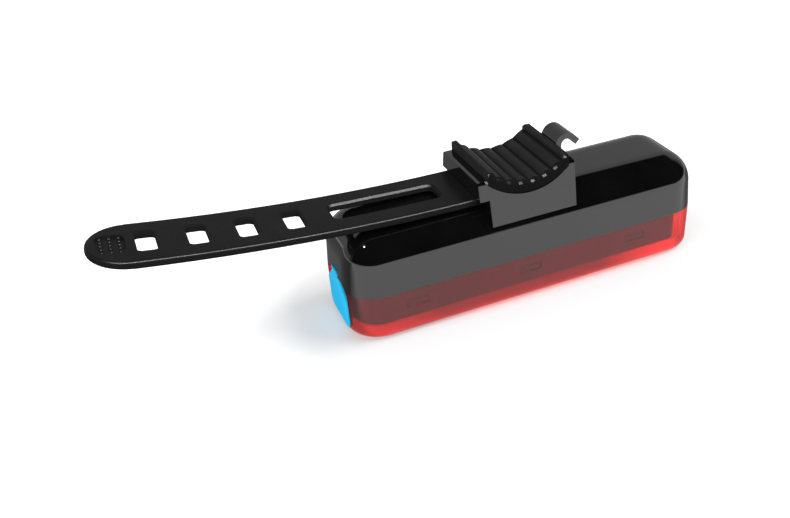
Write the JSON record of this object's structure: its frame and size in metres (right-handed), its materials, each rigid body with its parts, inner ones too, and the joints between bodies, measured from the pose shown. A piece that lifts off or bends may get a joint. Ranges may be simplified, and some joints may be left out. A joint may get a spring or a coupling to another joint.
{
  "type": "bicycle rear light",
  "caption": "Slim rechargeable bicycle rear light: red lens, gloss black housing, ribbed saddle with hook, and a perforated rubber strap for a seat post.",
  "frame": {"origin": "centre of the flat face of the lens, which lies face down", "axes": "+X along the light towards the button end, +Y across it, +Z from the lens face towards the saddle that holds the post"},
  "size_m": [0.1379, 0.025, 0.0349],
  "materials": {
    "lens_cover": "clear, polished",
    "rear_housing": "polished",
    "housing_seal": "matt",
    "inner_frame": "moulded",
    "reflector": "bright",
    "led_board": "solder mask",
    "leds": "moulded",
    "controller_chip": "moulded",
    "charge_chip": "moulded",
    "board_capacitors": "fired",
    "board_resistors": "fired",
    "usb_socket": "plated",
    "usb_tongue": "moulded",
    "usb_cover": "silky",
    "cover_tether": "silky",
    "battery_cell": "foil",
    "battery_tape": "foam",
    "cell_board": "solder mask",
    "battery_leads": "insulated",
    "switch_board": "solder mask",
    "tact_switch": "moulded",
    "switch_plunger": "moulded",
    "power_button": "matt",
    "pin_header": "moulded",
    "header_pins": "plated",
    "frame_screws": "zinc plated",
    "saddle_screws": "zinc plated",
    "mount_saddle": "polished",
    "rubber_pad": "matt",
    "strap": "silky"
  },
  "bodies": {
    "light": {"lens_cover": "lens_cover", "rear_housing": "rear_housing", "housing_seal": "housing_seal", "inner_frame": "inner_frame", "reflector": "reflector", "led_board": "led_board", "leds": "leds", "controller_chip": "controller_chip", "charge_chip": "charge_chip", "board_capacitors": "board_capacitors", "board_resistors": "board_resistors", "usb_socket": "usb_socket", "usb_tongue": "usb_tongue", "cover_tether": "cover_tether", "battery_cell": "battery_cell", "battery_tape": "battery_tape", "cell_board": "cell_board", "battery_leads": "battery_leads", "switch_board": "switch_board", "tact_switch": "tact_switch", "pin_header": "pin_header", "header_pins": "header_pins", "frame_screws": "frame_screws", "saddle_screws": "saddle_screws", "mount_saddle": "mount_saddle", "rubber_pad": "rubber_pad", "strap": "strap"},
    "usb_cover": {"usb_cover": "usb_cover"},
    "power_button": {"power_button": "power_button"},
    "switch_plunger": {"switch_plunger": "switch_plunger"}
  },
  "joints": [
    {"name": "cover_hinge", "type": "hinge", "parent": "light", "child": "usb_cover", "pos_m": [-0.0446, 0, 0.01275], "axis": [0, 1, 0], "range_deg": [0, 95]},
    {"name": "button_press", "type": "slide", "parent": "light", "child": "power_button", "axis": [-1, 0, 0], "range_m": [0, 0.0004], "stiffness_N_per_m": 2500},
    {"name": "plunger_press", "type": "slide", "parent": "light", "child": "switch_plunger", "axis": [-1, 0, 0], "range_m": [0, 0.0004]}
  ],
  "couplings": [
    {"joint": "plunger_press", "follows": "button_press", "ratio": 1}
  ]
}
